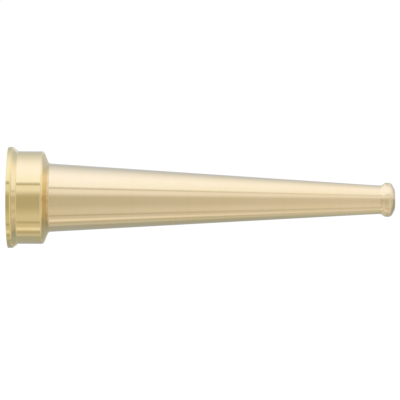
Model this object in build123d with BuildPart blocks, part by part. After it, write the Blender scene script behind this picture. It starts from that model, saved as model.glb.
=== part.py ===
from build123d import *
import math
import os

# Plain brass smooth-bore fire hose nozzle: 1-1/2 inch hose thread inlet, 1/2 inch orifice, 10 inches long.
# Millimetres. The nozzle's axis is X. The origin is the centre of the inlet mouth, the water leaves towards
# +X, and +Z is up when the nozzle lies level.
#
# Pieces: the turned inlet coupling, the tapered barrel brazed into its back, the ring of brazing alloy
# between them, and the rubber hose gasket behind the thread.

inch = 25.4

# ---- overall ----
length = 10 * inch               # inlet mouth to discharge lip

# ---- inlet coupling, outside ----
rim_r = 33.20                    # raised rim round the mouth
rim_edge = 0.25                  # rounded front edge of the rim
rim_back_x, rim_round = 3.06, 2.50      # rear corner of the rim, before rounding
hub_r = 30.42                    # plain cylindrical hub
cove_x, cove_round = 6.48, 1.20  # where the slope behind the rim meets the hub, before rounding
shoulder_x = 23.28               # corner of hub and shoulder, before rounding
shoulder_round = 1.90
shoulder_deg = 22.45             # shoulder cone, measured from a plane square to the axis

# ---- inlet coupling, inside: 1-1/2 inch hose thread, 9 threads per inch, 60 degree form ----
pitch = inch / 9
thread_major_r = 2.002 * inch / 2
thread_minor_r = 23.90           # crests cut back to the large end of the thread's tolerance
thread_flat = pitch / 8          # flat at the bottom of the groove
thread_half_deg = 30
mouth_r = 25.95                  # 45 degree lead-in at the mouth
relief_x = 15 / 32 * inch        # end of the thread
relief_len = 2.25
relief_r = 25.90
seat_x = 19 / 32 * inch          # mouth to the exposed face of the gasket
recess_r = (2 + 3 / 32) * inch / 2
recess_gap = 0.10                # the recess is this much wider than the gasket
gasket_t = 3 / 16 * inch
back_x = seat_x + gasket_t       # floor of the gasket recess

# ---- gasket ----
gasket_r = (2 + 1 / 16) * inch / 2
gasket_bore_r = 1.5 * inch / 2
gasket_round = 0.40

# ---- barrel ----
waterway_r = 1.5 * inch / 2      # bore at the root
orifice_r = 0.5 * inch / 2
socket_x = back_x + 1.50         # floor of the socket that the barrel is brazed into
spigot_r = 21.40
taper_ref_x, taper_ref_r = 34.10, 22.08
taper_per_mm = 0.06080           # fall of outside radius per mm, 3.5 degrees
taper_end_x = 237.00             # outside taper eases off here
neck_x, neck_r = 244.20, 9.37    # slimmest point, behind the bead
bead_r = 11.20
bead_in_x, bead_in_r = 246.35, 10.285   # where the flare turns from hollow to rounded
bead_top_x = 248.50
nose_slope = 2.00                # mm of radius per mm of length on the front of the bead
nose_round = 2.70
lip_land = 0.15                  # flat ring round the orifice
bore_taper_x = 30.00             # the inside taper runs from here ...
bore_taper_end_x = 237.00        # ... to here, then the orifice is straight

# ---- braze ring ----
braze_leg = 0.95
braze_sag = 0.112                # how far the ring's face is hollowed

os.makedirs("parts", exist_ok=True)


def barrel_r(x):
    return taper_ref_r - taper_per_mm * (x - taper_ref_x)


# The shoulder cone runs from the hub's corner down to the barrel's surface.
shoulder_slope = math.tan(math.radians(90 - shoulder_deg))
cone_end_x = shoulder_x + (hub_r - barrel_r(shoulder_x)) / (shoulder_slope - taper_per_mm)
root_r = barrel_r(cone_end_x)

# ---------------------------------------------------------------- inlet coupling
with BuildPart() as inlet_coupling:
    # solid of revolution with a plain bore: rim, cove, hub, shoulder cone, barrel socket, back wall
    with BuildSketch(Plane.XY):
        with BuildLine():
            Line((0, thread_minor_r), (0, rim_r - rim_edge))
            RadiusArc((0, rim_r - rim_edge), (rim_edge, rim_r), rim_edge)
            Polyline(
                (rim_edge, rim_r), (rim_back_x, rim_r), (cove_x, hub_r), (shoulder_x, hub_r),
                (cone_end_x, root_r), (cone_end_x, spigot_r),
                (socket_x, spigot_r), (socket_x, waterway_r), (back_x, waterway_r), (back_x, thread_minor_r),
                (0, thread_minor_r),
            )
        make_face()
        for corner_x, rounding in ((rim_back_x, rim_round), (cove_x, cove_round), (shoulder_x, shoulder_round)):
            fillet(
                vertices().filter_by_position(Axis.X, corner_x - 0.01, corner_x + 0.01).sort_by(Axis.Y)[-1],
                rounding,
            )
    revolve(axis=Axis.X)

    # the thread: a 60 degree groove with a flat bottom, on a helix that starts outside the mouth
    depth = thread_major_r - thread_minor_r
    over = 0.30                                    # the cutter stands this far inside the crests
    spread = 2 * math.tan(math.radians(thread_half_deg))
    groove_top = thread_flat + (depth + over) * spread
    with BuildLine():
        path = Helix(
            pitch=pitch, height=pitch + relief_x + relief_len / 2, radius=thread_minor_r,
            center=(-pitch, 0, 0), direction=(1, 0, 0),
        )
    with BuildSketch(Plane(origin=path @ 0, x_dir=(1, 0, 0), z_dir=path % 0)):
        with BuildLine():
            Polyline(
                (-groove_top / 2, -over), (groove_top / 2, -over),
                (thread_flat / 2, depth), (-thread_flat / 2, depth),
                close=True,
            )
        make_face()
    sweep(path=path, is_frenet=True, mode=Mode.SUBTRACT)

    # relief behind the thread, undercut recess for the gasket, and the lead-in at the mouth
    with BuildSketch(Plane.XY):
        with Locations((relief_x, 0)):
            Rectangle(relief_len, relief_r, align=(Align.MIN, Align.MIN))
        with Locations((seat_x - recess_gap, 0)):
            Rectangle(gasket_t + recess_gap, recess_r, align=(Align.MIN, Align.MIN))
        with BuildLine():
            Polyline(
                (-1, 0), (-1, mouth_r + 1), (mouth_r - thread_minor_r + 4, thread_minor_r - 4),
                (mouth_r - thread_minor_r + 4, 0),
                close=True,
            )
        make_face()
    revolve(axis=Axis.X, mode=Mode.SUBTRACT)

# ---------------------------------------------------------------- barrel
with BuildPart() as barrel:
    nose_corner_x = length - (bead_r - orifice_r - lip_land) / nose_slope
    with BuildSketch(Plane.XY):
        with BuildLine():
            Polyline(
                (bore_taper_end_x, orifice_r), (bore_taper_x, waterway_r), (socket_x, waterway_r),
                (socket_x, spigot_r), (cone_end_x, spigot_r), (cone_end_x, root_r),
                (taper_end_x, barrel_r(taper_end_x)), (neck_x, neck_r),
            )
            # hollow flare, then the rounded back of the bead
            TangentArc((neck_x, neck_r), (bead_in_x, bead_in_r), tangent=(1, 0))
            TangentArc((bead_top_x, bead_r), (bead_in_x, bead_in_r), tangent=(-1, 0))
            Polyline(
                (bead_top_x, bead_r), (nose_corner_x, bead_r), (length, orifice_r + lip_land),
                (length, orifice_r), (bore_taper_end_x, orifice_r),
            )
        make_face()
        fillet(
            vertices().filter_by_position(Axis.X, nose_corner_x - 0.01, nose_corner_x + 0.01).sort_by(Axis.Y)[-1],
            nose_round,
        )
    revolve(axis=Axis.X)

# ---------------------------------------------------------------- braze ring
with BuildPart() as braze_ring:
    cone_dir = Vector(-math.sin(math.radians(shoulder_deg)), math.cos(math.radians(shoulder_deg)))
    barrel_dir = Vector(1, -taper_per_mm).normalized()
    corner = Vector(cone_end_x, root_r)
    toe_up = corner + cone_dir * braze_leg
    toe_down = corner + barrel_dir * braze_leg
    middle = (toe_up + toe_down) * 0.5
    hollow = middle + (corner - middle).normalized() * braze_sag
    with BuildSketch(Plane.XY):
        with BuildLine():
            Line(corner, toe_up)
            ThreePointArc(toe_up, hollow, toe_down)
            Line(toe_down, corner)
        make_face()
    revolve(axis=Axis.X)

# ---------------------------------------------------------------- gasket
with BuildPart() as hose_gasket:
    with BuildSketch(Plane.XY):
        with Locations((seat_x, gasket_bore_r)):
            Rectangle(gasket_t, gasket_r - gasket_bore_r, align=(Align.MIN, Align.MIN))
        fillet(vertices(), gasket_round)
    revolve(axis=Axis.X)

pieces = {
    "inlet_coupling": inlet_coupling,
    "barrel": barrel,
    "braze_ring": braze_ring,
    "hose_gasket": hose_gasket,
}
for name, piece in pieces.items():
    piece.part.label = name
    export_step(piece.part, f"parts/{name}.step")
    box = piece.part.bounding_box()
    print(
        f"{name}: {len(piece.part.solids())} solid, {piece.part.volume / 1000:.2f} cm3, "
        f"x {box.min.X:.2f} to {box.max.X:.2f}, r {box.max.Z:.2f}, valid {piece.part.is_valid}"
    )
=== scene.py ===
import math

import bmesh
import bpy
from mathutils import Matrix, Vector


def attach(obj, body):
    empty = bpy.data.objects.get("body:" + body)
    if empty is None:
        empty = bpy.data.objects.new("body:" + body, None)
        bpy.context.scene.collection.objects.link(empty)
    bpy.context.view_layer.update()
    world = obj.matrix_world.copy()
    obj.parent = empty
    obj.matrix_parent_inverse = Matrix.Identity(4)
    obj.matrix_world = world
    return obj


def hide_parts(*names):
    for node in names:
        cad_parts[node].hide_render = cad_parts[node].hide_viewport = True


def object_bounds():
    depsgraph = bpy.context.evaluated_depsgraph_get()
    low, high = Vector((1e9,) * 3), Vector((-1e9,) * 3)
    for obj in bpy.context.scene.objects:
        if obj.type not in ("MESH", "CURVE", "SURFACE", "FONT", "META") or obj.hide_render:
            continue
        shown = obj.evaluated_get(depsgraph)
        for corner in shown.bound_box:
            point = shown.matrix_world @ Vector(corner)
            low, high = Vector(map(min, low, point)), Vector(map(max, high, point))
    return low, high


# Plain brass smooth-bore fire hose nozzle. The axis is X, the origin is the centre of the inlet mouth,
# the water leaves towards +X. Profiles are in millimetres, as (x along the axis, radius).

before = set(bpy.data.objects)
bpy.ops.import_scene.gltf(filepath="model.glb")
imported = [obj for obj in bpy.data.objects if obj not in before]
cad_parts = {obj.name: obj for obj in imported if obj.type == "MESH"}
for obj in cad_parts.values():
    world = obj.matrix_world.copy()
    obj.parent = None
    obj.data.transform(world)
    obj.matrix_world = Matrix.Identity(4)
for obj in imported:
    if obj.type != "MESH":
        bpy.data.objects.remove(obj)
cad_box = [[float(c) for c in corner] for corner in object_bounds()]

MM = 0.001
AROUND = 320                      # segments round the axis
scene = bpy.context.scene


# ---------------------------------------------------------------- profiles
def circle_through(a, m, b):
    d = 2 * (a[0] * (m[1] - b[1]) + m[0] * (b[1] - a[1]) + b[0] * (a[1] - m[1]))
    sa, sm, sb = (p[0] ** 2 + p[1] ** 2 for p in (a, m, b))
    cx = (sa * (m[1] - b[1]) + sm * (b[1] - a[1]) + sb * (a[1] - m[1])) / d
    cy = (sa * (b[0] - m[0]) + sm * (a[0] - b[0]) + sb * (m[0] - a[0])) / d
    return cx, cy, math.hypot(a[0] - cx, a[1] - cy)


def arc(a, m, b, step=4.0):
    """Points of the arc from a through m to b, both ends included."""
    cx, cy, r = circle_through(a, m, b)
    t0 = math.atan2(a[1] - cy, a[0] - cx)
    tm = math.atan2(m[1] - cy, m[0] - cx) - t0
    t1 = math.atan2(b[1] - cy, b[0] - cx) - t0
    tm, t1 = tm % (2 * math.pi), t1 % (2 * math.pi)
    if tm > t1:
        t1 -= 2 * math.pi
    n = max(3, int(math.ceil(abs(math.degrees(t1)) / step)))
    return [(cx + r * math.cos(t0 + t1 * i / n), cy + r * math.sin(t0 + t1 * i / n)) for i in range(n + 1)]


def tangent_arc(a, b, direction, step=4.0):
    """Points of the arc that leaves a along direction and ends at b."""
    d = Vector(direction).normalized()
    n = Vector((-d.y, d.x))
    ab = Vector(b) - Vector(a)
    k = ab.length_squared / (2 * ab.dot(n))
    c = Vector(a) + n * k
    bisector = ((Vector(a) - c) + (Vector(b) - c)).normalized()
    m = c + bisector * abs(k)
    return arc(a, tuple(m), b, step)


def rounded(corner, before, after, radius, step=8.0):
    """The points that replace a corner between two straight runs."""
    c, p, q = Vector(corner), Vector(before), Vector(after)
    u, v = (p - c).normalized(), (q - c).normalized()
    half = u.angle(v) / 2
    reach = radius / math.tan(half)
    centre = c + (u + v).normalized() * (radius / math.sin(half))
    m = centre + (c - centre).normalized() * radius
    return arc(tuple(c + u * reach), tuple(m), tuple(c + v * reach), step)


def loop_of(items, fine={}):
    """A closed profile from (x, r) points and (x, r, rounding) corners."""
    n, out = len(items), []
    for i, p in enumerate(items):
        if len(p) == 3 and p[2] > 0:
            out += rounded(p[:2], items[i - 1][:2], items[(i + 1) % n][:2], p[2], fine.get(p[:2], 8.0))
        else:
            out.append((p[0], p[1]))
    clean = [p for i, p in enumerate(out) if math.dist(p, out[i - 1]) > 1e-5]
    return clean


def with_support(points, step=7.0, hold=0.10):
    """Extra rings along the straight runs and just inside their ends, so that the shading stays true to the profile."""
    n, out = len(points), []
    for i, a in enumerate(points):
        b = points[(i + 1) % n]
        length = math.dist(a, b)
        out.append(a)
        if length < 5 * hold:
            continue
        marks = {hold, length - hold}
        parts = int(length // step)
        marks |= {length * k / parts for k in range(1, parts)} if parts > 1 else set()
        out += [(a[0] + (b[0] - a[0]) * s / length, a[1] + (b[1] - a[1]) * s / length) for s in sorted(marks)]
    return out


def turned(name, points, around=AROUND, ripple=None):
    """A closed solid of revolution about X."""
    loop = [(x * MM, r * MM) for x, r in points]
    area = sum(a[0] * b[1] - b[0] * a[1] for a, b in zip(loop, loop[1:] + loop[:1]))
    if area < 0:
        loop.reverse()
    n = len(loop)
    verts, faces = [], []
    for j in range(around):
        t = 2 * math.pi * j / around
        c, s = math.cos(t), math.sin(t)
        for x, r in loop:
            if ripple:
                x, r = ripple(x, r, t)
            verts.append((x, r * c, r * s))
    for j in range(around):
        k = (j + 1) % around
        for i in range(n):
            m = (i + 1) % n
            faces.append((j * n + i, k * n + i, k * n + m, j * n + m))
    return solid(name, verts, faces)


def solid(name, verts, faces):
    mesh = bpy.data.meshes.new(name)
    mesh.from_pydata(verts, [], faces)
    bm = bmesh.new()
    bm.from_mesh(mesh)
    if bm.calc_volume(signed=True) < 0:
        bmesh.ops.reverse_faces(bm, faces=bm.faces)
    bm.to_mesh(mesh)
    bm.free()
    mesh.update()
    obj = bpy.data.objects.new(name, mesh)
    scene.collection.objects.link(obj)
    return obj


def smooth(obj, sharp_deg=24):
    obj.data.shade_smooth()
    obj.data.set_sharp_from_angle(angle=math.radians(sharp_deg))


def report(obj):
    bm = bmesh.new()
    bm.from_mesh(obj.data)
    open_edges = sum(not e.is_manifold for e in bm.edges)
    tiny = sum(f.calc_area() < 1e-12 for f in bm.faces)
    print(f"{obj.name}: {len(bm.faces)} faces, {bm.calc_volume() * 1e6:.2f} cm3, open edges {open_edges}, tiny faces {tiny}")
    bm.free()


# ---------------------------------------------------------------- sizes, as in the CAD
inch = 25.4
length = 254.0
rim_r, hub_r = 33.20, 30.42
shoulder_x, shoulder_deg = 23.28, 22.45
pitch, minor_r, major_r = inch / 9, 23.90, 2.002 * inch / 2
thread_flat = pitch / 8
mouth_r = 25.95
relief_x, relief_len, relief_r = 15 / 32 * inch, 2.25, 25.90
seat_x, recess_r, gasket_t = 19 / 32 * inch, (2 + 3 / 32) * inch / 2, 3 / 16 * inch
back_x = seat_x + gasket_t
waterway_r, orifice_r = 19.05, 6.35
socket_x, spigot_r = back_x + 1.5, 21.40
taper = 0.06080
bead_r = 11.20


def barrel_r(x):
    return 22.08 - taper * (x - 34.10)


slope = math.tan(math.radians(90 - shoulder_deg))
cone_end_x = shoulder_x + (hub_r - barrel_r(shoulder_x)) / (slope - taper)
root_r = barrel_r(cone_end_x)


# ---------------------------------------------------------------- inlet coupling
body = loop_of(
    [
        (0, mouth_r, 0.12), (0, rim_r, 0.25), (3.06, rim_r, 2.50), (6.48, hub_r, 1.20),
        (shoulder_x, hub_r, 1.90), (cone_end_x, root_r, 0.05), (cone_end_x, spigot_r, 0.05),
        (socket_x, spigot_r, 0.10), (socket_x, waterway_r, 0.12), (back_x, waterway_r, 0.20),
        (back_x, recess_r, 0.20), (seat_x - 0.10, recess_r, 0.20), (seat_x - 0.10, minor_r, 0.15),
        (relief_x + relief_len, minor_r, 0.15), (relief_x + relief_len, relief_r, 0.30),
        (relief_x, relief_r, 0.30), (relief_x, minor_r, 0.06), (mouth_r - minor_r, minor_r, 0.06),
    ],
    fine={(3.06, rim_r): 4.0, (6.48, hub_r): 4.0, (shoulder_x, hub_r): 4.0},
)
coupling = turned("Inlet_Coupling", with_support(body))

# the hose thread is cut by one helical cutter that starts outside the mouth and runs out in the relief
depth, over = major_r - minor_r, 0.30
groove_top = thread_flat + (depth + over) * 2 * math.tan(math.radians(30))
section = [
    (-groove_top / 2, minor_r - over), (-thread_flat / 2, major_r), (thread_flat / 2, major_r),
    (groove_top / 2, minor_r - over),
]
steps = int(round((pitch + relief_x + relief_len / 2) / pitch * AROUND))
verts, faces = [], []
for j in range(steps + 1):
    t = 2 * math.pi * j / AROUND
    for dx, r in section:
        verts.append(((-pitch + pitch * j / AROUND + dx) * MM, r * MM * math.cos(t), r * MM * math.sin(t)))
for j in range(steps):
    for i in range(4):
        m = (i + 1) % 4
        faces.append((4 * j + i, 4 * j + m, 4 * j + 4 + m, 4 * j + 4 + i))
faces += [(3, 2, 1, 0), (4 * steps, 4 * steps + 1, 4 * steps + 2, 4 * steps + 3)]
cutter = solid("cutter", verts, faces)
cut = coupling.modifiers.new("thread", "BOOLEAN")
cut.operation, cut.solver, cut.object = "DIFFERENCE", "MANIFOLD", cutter
bpy.context.view_layer.update()
threaded = bpy.data.meshes.new_from_object(coupling.evaluated_get(bpy.context.evaluated_depsgraph_get()))
coupling.modifiers.clear()
coupling.data = threaded
threaded.name = "Inlet_Coupling"
bm = bmesh.new()
bm.from_mesh(threaded)
bmesh.ops.remove_doubles(bm, verts=bm.verts, dist=1e-6)
bmesh.ops.dissolve_degenerate(bm, edges=bm.edges, dist=1e-6)
bm.to_mesh(threaded)
bm.free()
bpy.data.objects.remove(cutter)

# ---------------------------------------------------------------- barrel
neck, flare, top = (244.20, 9.37), (246.35, 10.285), (248.50, bead_r)
nose_x = length - (bead_r - orifice_r - 0.15) / 2.0
bead_back = tangent_arc(top, flare, (-1, 0), 5)
bead_back.reverse()
outline = loop_of(
    [
        (237.0, orifice_r), (30.0, waterway_r), (socket_x, waterway_r, 0.12), (socket_x, spigot_r, 0.10),
        (cone_end_x, spigot_r, 0.05), (cone_end_x, root_r, 0.05), (237.0, barrel_r(237.0)),
    ]
    + tangent_arc(neck, flare, (1, 0), 4)
    + bead_back
    + [(nose_x, bead_r, 2.70), (length, orifice_r + 0.15, 0.05), (length, orifice_r, 0.05)]
)
barrel = turned("Barrel", with_support(outline))

# ---------------------------------------------------------------- braze ring
leg, sag = 0.95, 0.112
cone = Vector((-math.sin(math.radians(shoulder_deg)), math.cos(math.radians(shoulder_deg))))
along = Vector((1, -taper)).normalized()
corner = Vector((cone_end_x, root_r))
up, down = corner + cone * leg, corner + along * leg
middle = (up + down) / 2
hollow = middle + (corner - middle).normalized() * sag
ring_loop = arc(tuple(up), tuple(hollow), tuple(down), 3) + [tuple(corner)]


def flow(x, r, t):
    """Brazing alloy freezes with a slightly uneven surface."""
    out = (x / MM - corner.x) + (r / MM - corner.y)
    if out < 0.2:
        return x, r
    wave = 0.014 * math.sin(5 * t + 0.4) + 0.008 * math.sin(11 * t + 1.9) + 0.003 * math.sin(23 * t)
    return x + wave * MM * 0.5, r + wave * MM * 0.5


ring = turned("Braze_Ring", ring_loop, ripple=flow)

# ---------------------------------------------------------------- gasket
gasket_r, bore_r = (2 + 1 / 16) * inch / 2, 0.75 * inch
washer = loop_of(
    [
        (seat_x, bore_r, 0.40), (seat_x, gasket_r, 0.40), (back_x, gasket_r, 0.40), (back_x, bore_r, 0.40),
    ]
)
gasket = turned("Hose_Gasket", with_support(washer, step=2.0), around=256)

for piece in (coupling, barrel, ring, gasket):
    smooth(piece)
    report(piece)


# ---------------------------------------------------------------- material helpers
def tree_of(name):
    mat = bpy.data.materials.new(name)
    mat.use_nodes = True
    nt = mat.node_tree
    nt.nodes.clear()
    out = nt.nodes.new("ShaderNodeOutputMaterial")
    shader = nt.nodes.new("ShaderNodeBsdfPrincipled")
    nt.links.new(shader.outputs[0], out.inputs[0])
    return mat, nt, shader


def put(nt, value, socket):
    if isinstance(value, bpy.types.NodeSocket):
        nt.links.new(value, socket)
    else:
        socket.default_value = value


def math_node(nt, operation, a, b=0.0, c=0.0, clamp=False):
    n = nt.nodes.new("ShaderNodeMath")
    n.operation, n.use_clamp = operation, clamp
    for value, socket in zip((a, b, c), n.inputs):
        put(nt, value, socket)
    return n.outputs[0]


def noise(nt, vector, scale, detail=2.0, rough=0.5, distortion=0.0):
    n = nt.nodes.new("ShaderNodeTexNoise")
    n.inputs["Scale"].default_value = scale
    n.inputs["Detail"].default_value = detail
    n.inputs["Roughness"].default_value = rough
    n.inputs["Distortion"].default_value = distortion
    nt.links.new(vector, n.inputs["Vector"])
    return n.outputs["Fac"]


def stretched(nt, vector, scale, offset=(0, 0, 0)):
    n = nt.nodes.new("ShaderNodeMapping")
    n.inputs["Scale"].default_value = scale
    n.inputs["Location"].default_value = offset
    nt.links.new(vector, n.inputs["Vector"])
    return n.outputs[0]


def remap(nt, value, a, b, c, d, kind="SMOOTHSTEP"):
    n = nt.nodes.new("ShaderNodeMapRange")
    n.interpolation_type = kind
    put(nt, value, n.inputs["Value"])
    for name, v in (("From Min", a), ("From Max", b), ("To Min", c), ("To Max", d)):
        n.inputs[name].default_value = v
    return n.outputs[0]


def blend_colour(nt, factor, a, b):
    n = nt.nodes.new("ShaderNodeMix")
    n.data_type = "RGBA"
    put(nt, factor, n.inputs["Factor"])
    ins = [s for s in n.inputs if s.type == "RGBA"]
    for value, socket in zip((a, b), ins):
        put(nt, value if isinstance(value, bpy.types.NodeSocket) else (*value, 1), socket)
    return [s for s in n.outputs if s.type == "RGBA"][0]


def bump(nt, height, distance, strength=1.0, normal=None):
    n = nt.nodes.new("ShaderNodeBump")
    n.inputs["Distance"].default_value = distance
    n.inputs["Strength"].default_value = strength
    nt.links.new(height, n.inputs["Height"])
    if normal is not None:
        nt.links.new(normal, n.inputs["Normal"])
    return n.outputs[0]


def brass(name, deep, pale, roughness, grain, spread=0.6, root_marks=False, ends_marks=False, tarnish=0.0):
    """Lathe-turned, polished brass: fine rings from the tool, slow changes of hue, and gloss that varies with both."""
    mat, nt, shader = tree_of(name)
    place = nt.nodes.new("ShaderNodeTexCoord").outputs["Object"]
    split = nt.nodes.new("ShaderNodeSeparateXYZ")
    nt.links.new(place, split.inputs[0])
    x, y, z = split.outputs
    # the tool's feed runs along cylinders and tapers, and across faces and shoulders
    radius = math_node(nt, "SQRT", math_node(nt, "MULTIPLY_ADD", y, y, math_node(nt, "MULTIPLY", z, z)))
    feed = nt.nodes.new("ShaderNodeCombineXYZ")
    for value, socket in zip((math_node(nt, "SUBTRACT", x, radius), y, z), feed.inputs):
        nt.links.new(value, socket)
    feed = feed.outputs[0]
    hue = noise(nt, stretched(nt, place, (26, 60, 60)), 1.0, 3.0, 0.55)
    rings = noise(nt, stretched(nt, feed, (1500, 14, 14)), 1.0, 3.0, 0.6)
    bands = noise(nt, stretched(nt, feed, (260, 9, 9), (3, 0, 0)), 1.0, 2.0, 0.5)
    wipes = noise(nt, stretched(nt, place, (160, 700, 700), (0, 5, 0)), 1.0, 4.0, 0.6)
    mix = math_node(nt, "MULTIPLY_ADD", bands, 0.35, math_node(nt, "MULTIPLY", hue, 0.65))
    colour = blend_colour(nt, remap(nt, mix, 0.34, 0.66, 0.0, 1.0), deep, pale)
    if tarnish:
        spots = remap(nt, noise(nt, place, 190.0, 5.0, 0.62), 0.60, 0.78, 0.0, tarnish)
        colour = blend_colour(nt, spots, colour, (deep[0] * 0.72, deep[1] * 0.62, deep[2] * 0.55))
    if ends_marks:
        # the rim is a little yellower than the hub
        colour = blend_colour(nt, remap(nt, x, 0.0026, 0.0034, 1.0, 0.0), colour, (0.850, 0.710, 0.325))
        colour = blend_colour(nt, remap(nt, x, 0.0234, 0.0242, 0.0, 1.0), colour, (0.905, 0.715, 0.335))
        # the inlet face shows the rings of the facing cut, and has darkened a little
        cuts = noise(nt, stretched(nt, feed, (1100, 5, 5), (7, 0, 0)), 1.0, 2.0, 0.5)
        on_face = remap(nt, x, 0.00005, 0.00020, 1.0, 0.0)
        colour = blend_colour(nt, math_node(nt, "MULTIPLY", on_face, remap(nt, cuts, 0.36, 0.62, 0.0, 0.8)), colour, (0.77, 0.62, 0.29))
    nt.links.new(colour, shader.inputs["Base Color"])
    shader.inputs["Metallic"].default_value = 1.0
    shader.inputs["Anisotropic"].default_value = spread
    shader.inputs["Anisotropic Rotation"].default_value = 0.25
    tangent = nt.nodes.new("ShaderNodeTangent")
    tangent.direction_type, tangent.axis = "RADIAL", "X"
    nt.links.new(tangent.outputs[0], shader.inputs["Tangent"])
    gloss = math_node(nt, "MULTIPLY_ADD", rings, 0.05, roughness - 0.055)
    gloss = math_node(nt, "MULTIPLY_ADD", wipes, 0.06, gloss)
    if ends_marks:
        # the shoulder is left as turned, the hub is polished
        gloss = math_node(nt, "ADD", gloss, remap(nt, x, 0.0234, 0.0242, 0.0, 0.12))
    if root_marks:
        # the bead at the tip is a little less polished
        gloss = math_node(nt, "ADD", gloss, remap(nt, x, 0.2435, 0.2465, 0.0, 0.12))
    nt.links.new(gloss, shader.inputs["Roughness"])
    height = math_node(nt, "MULTIPLY_ADD", bands, 2.2, rings)
    if root_marks:
        # coarser tool marks where the tool came up against the shoulder
        wide = noise(nt, stretched(nt, place, (900, 4, 4), (11, 0, 0)), 1.0, 1.0, 0.5)
        near = remap(nt, x, 0.0290, 0.0400, 40.0, 0.0)
        height = math_node(nt, "MULTIPLY_ADD", wide, near, height)
    if ends_marks:
        # the inlet face is left as faced off
        height = math_node(nt, "MULTIPLY_ADD", cuts, math_node(nt, "MULTIPLY", on_face, 22.0), height)
        gloss = math_node(nt, "MULTIPLY_ADD", on_face, 0.06, gloss)
        nt.links.new(gloss, shader.inputs["Roughness"])
    nt.links.new(bump(nt, height, grain), shader.inputs["Normal"])
    return mat


outside_coupling = brass("Brass_Coupling", (0.905, 0.735, 0.365), (0.915, 0.755, 0.40), 0.13, 1.4e-6, ends_marks=True)
outside_barrel = brass("Brass_Barrel", (0.895, 0.745, 0.455), (0.905, 0.765, 0.49), 0.15, 1.4e-6, root_marks=True)
machined = brass("Brass_Machined", (0.86, 0.68, 0.33), (0.90, 0.73, 0.38), 0.24, 5e-6, spread=0.4, tarnish=0.20)
bored = brass("Brass_Bore", (0.84, 0.67, 0.36), (0.88, 0.72, 0.42), 0.30, 6e-6, spread=0.5, tarnish=0.14)

# brazing alloy: paler, dull where the flux was brushed away
braze, nt, shader = tree_of("Braze_Alloy")
place = nt.nodes.new("ShaderNodeTexCoord").outputs["Object"]
mottle = noise(nt, stretched(nt, place, (500, 420, 420)), 1.0, 4.0, 0.6)
nt.links.new(blend_colour(nt, remap(nt, mottle, 0.35, 0.7, 0.0, 1.0), (0.80, 0.62, 0.33), (0.88, 0.72, 0.43)), shader.inputs["Base Color"])
shader.inputs["Metallic"].default_value = 1.0
nt.links.new(remap(nt, mottle, 0.3, 0.7, 0.24, 0.34), shader.inputs["Roughness"])
nt.links.new(bump(nt, mottle, 0.5e-5), shader.inputs["Normal"])

# moulded black rubber, a little dusty, with a fine skin
rubber, nt, shader = tree_of("Gasket_Rubber")
place = nt.nodes.new("ShaderNodeTexCoord").outputs["Object"]
grainy = noise(nt, place, 2600.0, 4.0, 0.6)
dust = noise(nt, place, 110.0, 5.0, 0.6)
nt.links.new(blend_colour(nt, remap(nt, dust, 0.42, 0.72, 0.0, 1.0), (0.016, 0.016, 0.017), (0.045, 0.043, 0.040)), shader.inputs["Base Color"])
nt.links.new(remap(nt, dust, 0.35, 0.7, 0.46, 0.66), shader.inputs["Roughness"])
nt.links.new(bump(nt, grainy, 3.0e-5), shader.inputs["Normal"])

coupling.data.materials.clear()
coupling.data.materials.append(outside_coupling)
coupling.data.materials.append(machined)
for f in coupling.data.polygons:
    r = math.hypot(f.center.y, f.center.z)
    f.material_index = int(r < 26.7 * MM and f.center.x > 0.02 * MM and f.center.x < socket_x * MM + 1e-5)
barrel.data.materials.append(outside_barrel)
barrel.data.materials.append(bored)
for f in barrel.data.polygons:
    r = math.hypot(f.center.y, f.center.z)
    inside = r < (waterway_r + 0.1 + 12.7 / 207 * min(0, 30 - f.center.x / MM)) * MM if f.center.x < 237 * MM else r < 6.36 * MM
    f.material_index = int(inside)
ring.data.materials.append(braze)
gasket.data.materials.append(rubber)

for piece, node, slot in (
    (coupling, "inlet_coupling", "coupling_brass"), (barrel, "barrel", "barrel_brass"),
    (ring, "braze_ring", "braze_alloy"), (gasket, "hose_gasket", "gasket_rubber"),
):
    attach(piece, "root")
    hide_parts(node)

# ---------------------------------------------------------------- floor
floor_z = cad_box[0][2]
bm = bmesh.new()
bmesh.ops.create_circle(bm, cap_ends=True, segments=96, radius=2.6)
floor_mesh = bpy.data.meshes.new("Floor")
bm.to_mesh(floor_mesh)
bm.free()
floor = bpy.data.objects.new("Floor", floor_mesh)
floor.location = (0.127, 0, floor_z - 0.0002)
scene.collection.objects.link(floor)
floor.visible_glossy = False
floor.visible_shadow = False
mat = bpy.data.materials.new("Floor_White")
mat.use_nodes = True
nt = mat.node_tree
nt.nodes.clear()
out = nt.nodes.new("ShaderNodeOutputMaterial")
paper = nt.nodes.new("ShaderNodeBsdfDiffuse")
paper.inputs["Color"].default_value = (0.62, 0.59, 0.48, 1)
glow = nt.nodes.new("ShaderNodeEmission")
glow.inputs["Color"].default_value = (0.50, 0.50, 0.50, 1)
both = nt.nodes.new("ShaderNodeAddShader")
nt.links.new(paper.outputs[0], both.inputs[0])
nt.links.new(glow.outputs[0], both.inputs[1])
# painted reflection: seen at grazing angles the floor turns to plain white emission in place of the backdrop's
# reflection, which also hides the object's shadow on the floor
painted_grazing_reflection = nt.nodes.new("ShaderNodeEmission")
painted_grazing_reflection.inputs["Color"].default_value = (1.02, 1.02, 1.02, 1)
facing = nt.nodes.new("ShaderNodeLayerWeight")
facing.inputs["Blend"].default_value = 0.5
low = remap(nt, facing.outputs["Facing"], 0.86, 0.95, 0.0, 1.0)
pick = nt.nodes.new("ShaderNodeMixShader")
nt.links.new(low, pick.inputs[0])
nt.links.new(both.outputs[0], pick.inputs[1])
nt.links.new(painted_grazing_reflection.outputs[0], pick.inputs[2])
nt.links.new(pick.outputs[0], out.inputs[0])
floor_mesh.materials.append(mat)

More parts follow.
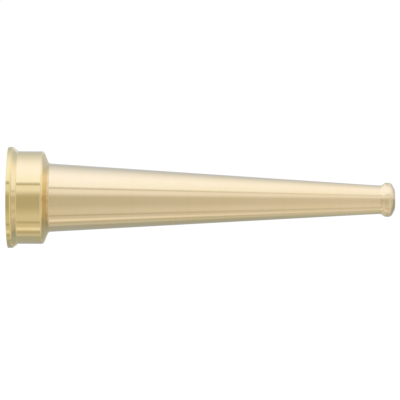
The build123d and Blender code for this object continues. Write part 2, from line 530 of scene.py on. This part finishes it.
# ---------------------------------------------------------------- studio light
# Long soft boxes and cards parallel to the nozzle. Angles are degrees round the X axis: 0 is the camera's side,
# 90 is overhead, -90 is below. Each one is
# (from, to, soft edge, soft edge, light towards the inlet, in the middle, towards the tip).
world = bpy.data.worlds.new("Studio")
scene.world = world
world.use_nodes = True
nt = world.node_tree
nt.nodes.clear()
ray = nt.nodes.new("ShaderNodeSeparateXYZ")
nt.links.new(nt.nodes.new("ShaderNodeTexCoord").outputs["Generated"], ray.inputs[0])
rx, ry, rz = ray.outputs


def degrees_round_x(toward):
    return math_node(nt, "MULTIPLY", math_node(nt, "ARCTAN2", rz, toward), 180 / math.pi)


def both(a, b):
    return math_node(nt, "MULTIPLY", a, b)


def card_light(angle, along_x):
    light = along_x((0.498, 0.465, 0.388), (0.565, 0.535, 0.480), (0.700, 0.655, 0.640))
    for lo, hi, soft_lo, soft_hi, inlet, middle, tip in cards:
        rise = remap(nt, angle, lo - soft_lo / 2, lo + soft_lo / 2, 0.0, 1.0)
        fall = remap(nt, angle, hi - soft_hi / 2, hi + soft_hi / 2, 1.0, 0.0)
        light = blend_colour(nt, both(rise, fall), light, along_x(inlet, middle, tip))
    return light


cards = [
    (-200, -115, 1, 7, (0.42, 0.45, 0.49), (0.40, 0.42, 0.42), (0.41, 0.44, 0.45)),
    (-111.5, -102.5, 6, 4, (0.60, 0.62, 0.64), (0.60, 0.61, 0.57), (0.60, 0.61, 0.58)),
    (-90.5, -78.5, 6, 6, (0.90, 0.865, 0.85), (0.93, 0.88, 0.87), (0.68, 0.65, 0.63)),
    (-79, -67.5, 5, 4, (0.67, 0.625, 0.56), (0.68, 0.64, 0.62), (0.72, 0.67, 0.64)),
    (-67, -62, 4, 4, (0.498, 0.465, 0.388), (0.47, 0.445, 0.40), (0.64, 0.60, 0.57)),
    (-61.5, -34, 4, 34, (0.69, 0.655, 0.615), (0.69, 0.66, 0.63), (0.78, 0.73, 0.70)),
    (10.8, 31.0, 20, 4, (0.92, 0.91, 0.99), (0.93, 0.91, 0.98), (0.89, 0.87, 0.92)),
    (31, 40, 4, 2, (0.498, 0.465, 0.388), (0.565, 0.535, 0.480), (0.87, 0.84, 0.86)),
    (36.6, 200, 7, 1, (1.06, 1.12, 1.40), (1.06, 1.10, 1.22), (1.02, 1.01, 1.08)),
    (54, 200, 32, 1, (1.11, 1.165, 1.61), (1.11, 1.145, 1.34), (1.06, 1.05, 1.22)),
]
across = math_node(nt, "ABSOLUTE", rx)
near = remap(nt, rx, -0.03, 0.055, 0.0, 1.0, "LINEAR")
far = remap(nt, rx, 0.085, 0.165, 0.0, 1.0, "LINEAR")
angle = degrees_round_x(math_node(nt, "MULTIPLY", ry, -1.0))

# in front of the nozzle
light = card_light(angle, lambda i, m, t: blend_colour(nt, far, blend_colour(nt, near, i, m), t))
low = both(remap(nt, angle, -80, -52, 0.0, 1.0), remap(nt, angle, 6, 30, 1.0, 0.0))
bounce = both(remap(nt, across, 0.20, 0.30, 0.0, 1.0), remap(nt, across, 0.44, 0.58, 1.0, 0.0))
light = blend_colour(nt, both(bounce, low), light, (0.86, 0.82, 0.78))
hood = both(remap(nt, angle, 66, 88, 0.0, 1.0), remap(nt, angle, 128, 150, 1.0, 0.0))
shade = both(remap(nt, across, 0.50, 0.72, 0.0, 0.20), math_node(nt, "SUBTRACT", 1.0, hood))
light = blend_colour(nt, shade, light, (0.0, 0.0, 0.0))
cool = both(remap(nt, angle, 76, 152, 0.0, 1.0), remap(nt, across, 0.58, 0.80, 1.0, 0.35))
light = blend_colour(nt, cool, light, (0.58, 0.63, 0.76))
dusk = both(remap(nt, angle, 171.5, 176.5, 0.0, 0.19), remap(nt, across, 0.60, 0.68, 0.0, 1.0))
light = blend_colour(nt, dusk, light, (0.0, 0.0, 0.0))

# to the sides and behind it: the same cards, the same way up on both sides
twin = card_light(degrees_round_x(math_node(nt, "ABSOLUTE", ry)), lambda i, m, t: m)
behind = math_node(nt, "MAXIMUM", remap(nt, angle, 110, 160, 0.0, 1.0), remap(nt, angle, -124, -114, 1.0, 0.0))
side = math_node(nt, "MAXIMUM", remap(nt, rx, -0.14, -0.34, 0.0, 1.0), remap(nt, rx, 0.84, 0.92, 0.0, 1.0))
band = both(remap(nt, across, 0.08, 0.13, 0.0, 1.0), remap(nt, across, 0.20, 0.30, 1.0, 0.0))
side = math_node(nt, "MAXIMUM", side, both(behind, band))
light = blend_colour(nt, side, light, twin)
light = blend_colour(nt, both(remap(nt, across, 0.88, 0.94, 0.0, 0.14), remap(nt, angle, 5, 20, 0.0, 1.0)), light, (0.0, 0.0, 0.0))

studio = nt.nodes.new("ShaderNodeBackground")
nt.links.new(light, studio.inputs["Color"])
backdrop = nt.nodes.new("ShaderNodeBackground")
backdrop.inputs["Color"].default_value = (1.02, 1.02, 1.02, 1)
path = nt.nodes.new("ShaderNodeLightPath")
pick = nt.nodes.new("ShaderNodeMixShader")
nt.links.new(path.outputs["Is Camera Ray"], pick.inputs[0])
nt.links.new(studio.outputs[0], pick.inputs[1])
nt.links.new(backdrop.outputs[0], pick.inputs[2])
nt.links.new(pick.outputs[0], nt.nodes.new("ShaderNodeOutputWorld").inputs[0])

scene.view_settings.view_transform = "Standard"
scene.view_settings.look = "None"

# ---------------------------------------------------------------- camera
cam = bpy.data.cameras.new("Camera")
camera = bpy.data.objects.new("Camera", cam)
scene.collection.objects.link(camera)
scene.camera = camera
cam.sensor_width, cam.lens = 36.0, 280.6
cam.clip_start, cam.clip_end = 0.05, 20.0
cam.dof.use_dof = False
roll = -math.radians(0.357)
camera.location = (0.12604, -2.05, -0.00092)
camera.rotation_euler = (Matrix.Rotation(roll, 3, "Y") @ Matrix.Rotation(math.pi / 2, 3, "X")).to_euler()
